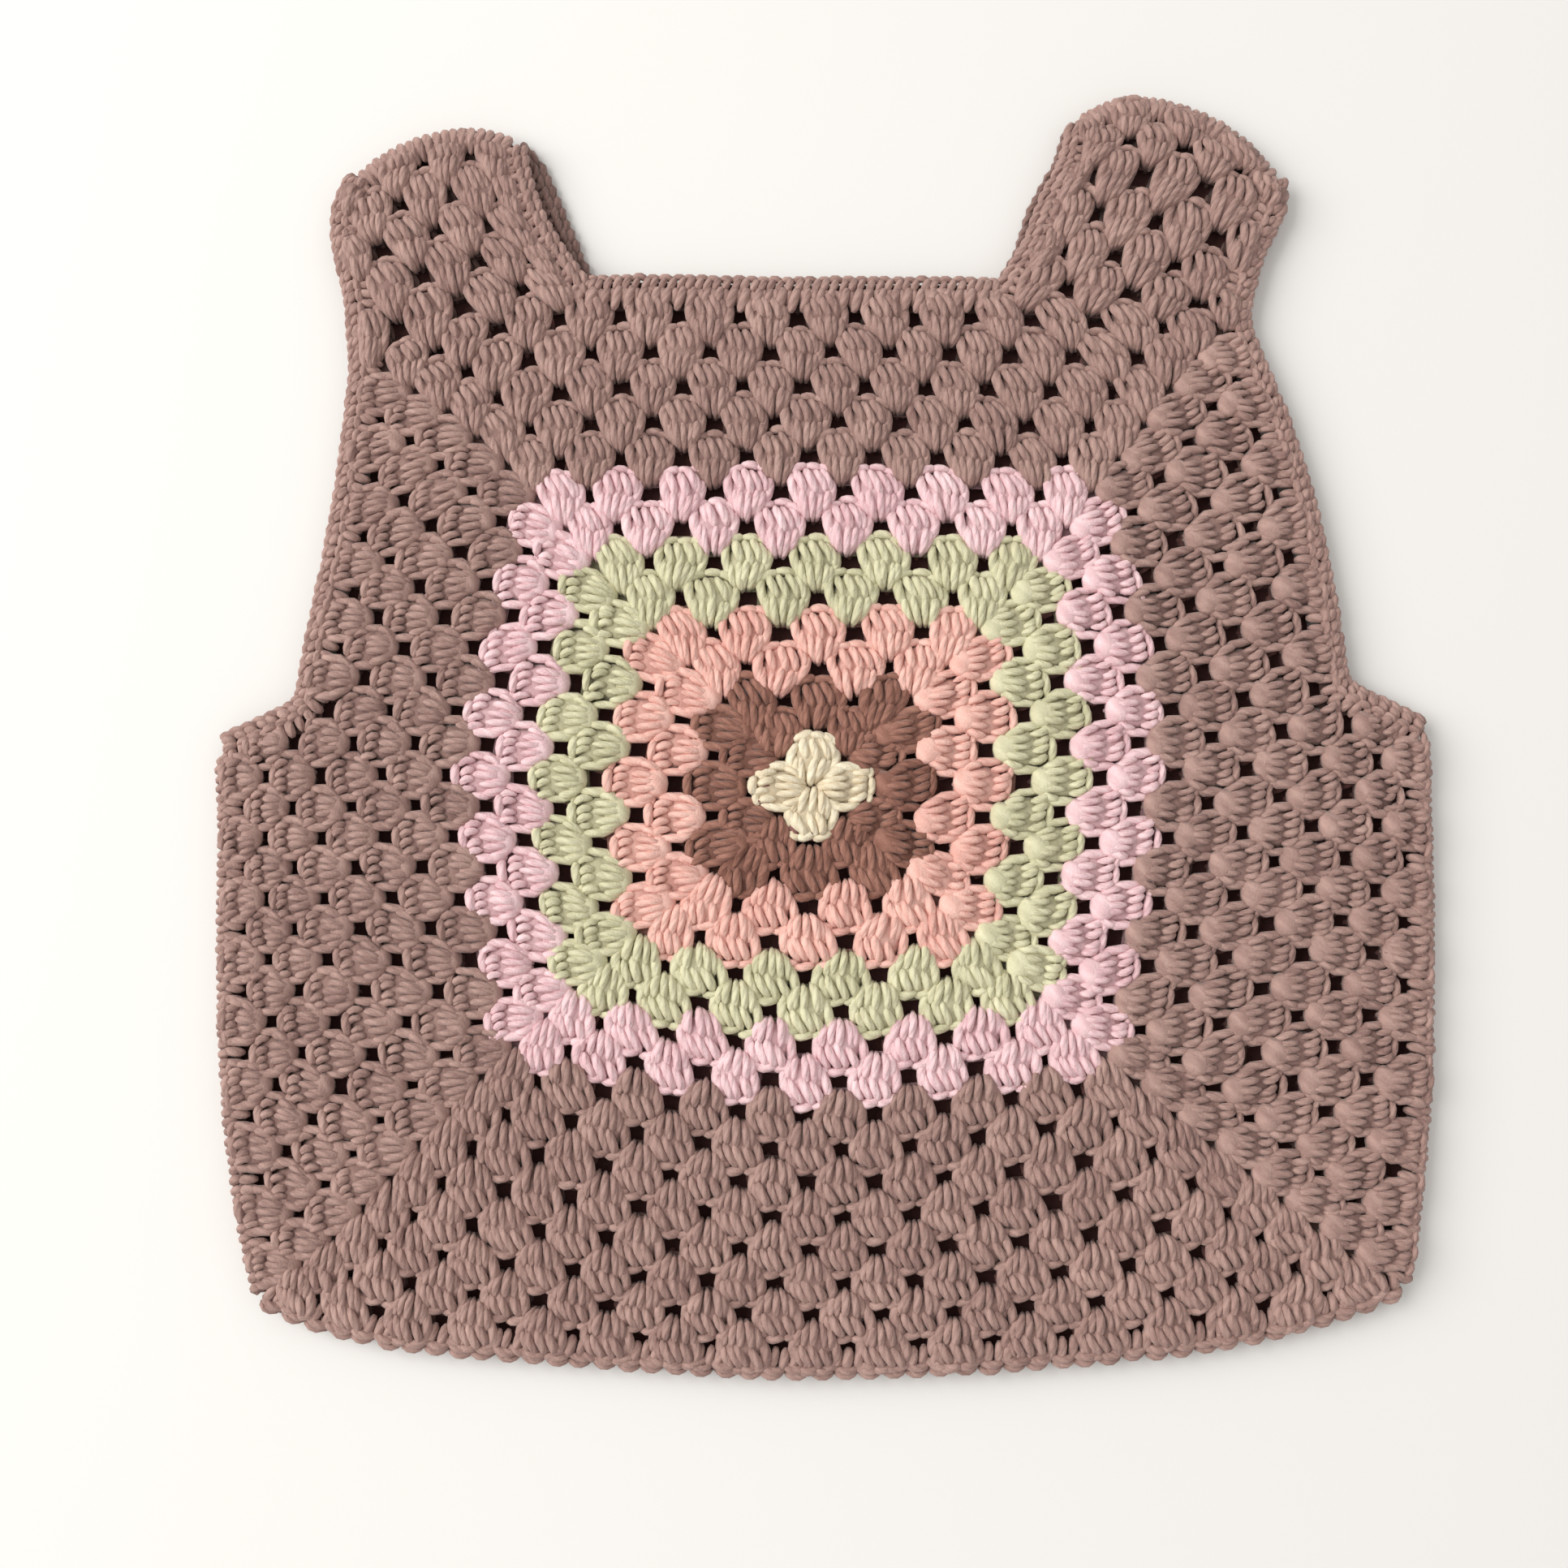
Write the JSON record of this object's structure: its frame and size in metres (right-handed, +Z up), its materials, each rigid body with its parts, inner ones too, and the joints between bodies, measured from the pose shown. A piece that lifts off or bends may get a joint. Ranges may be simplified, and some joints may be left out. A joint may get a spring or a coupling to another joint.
{
  "type": "crochet top",
  "caption": "Cropped granny-square crochet vest lying flat, square front in coloured rounds, wide straps, open neck, armholes and hem.",
  "frame": {"origin": "centre of the garment's outline on the surface it lies on", "axes": "+Z up through the two layers, +Y from the hem towards the shoulders, +X to the right as seen from above with the front uppermost"},
  "size_m": [0.3958, 0.4204, 0.0083],
  "materials": {
    "yarn_cream": "matte cotton yarn, cream",
    "yarn_cocoa": "matte cotton yarn, cocoa brown",
    "yarn_coral": "matte cotton yarn, coral",
    "yarn_sage": "matte cotton yarn, sage green",
    "yarn_pink": "matte cotton yarn, pale pink",
    "yarn_mauve": "matte cotton yarn, mauve brown",
    "yarn_mauve_back": "matte cotton yarn, mauve brown, back panel"
  },
  "bodies": {
    "root": {"front_flower_centre": "yarn_cream", "front_cocoa_rounds": "yarn_cocoa", "front_coral_rounds": "yarn_coral", "front_sage_rounds": "yarn_sage", "front_pink_rounds": "yarn_pink", "front_mauve_rounds": "yarn_mauve", "front_strap_left": "yarn_mauve", "front_strap_right": "yarn_mauve", "back_panel": "yarn_mauve_back", "back_strap_left": "yarn_mauve_back", "back_strap_right": "yarn_mauve_back", "neck_edging": "yarn_mauve", "armhole_edging_left": "yarn_mauve", "armhole_edging_right": "yarn_mauve", "hem_edging": "yarn_mauve", "side_seam_left": "yarn_mauve", "side_seam_right": "yarn_mauve", "shoulder_seam_left": "yarn_mauve", "shoulder_seam_right": "yarn_mauve"}
  },
  "joints": []
}
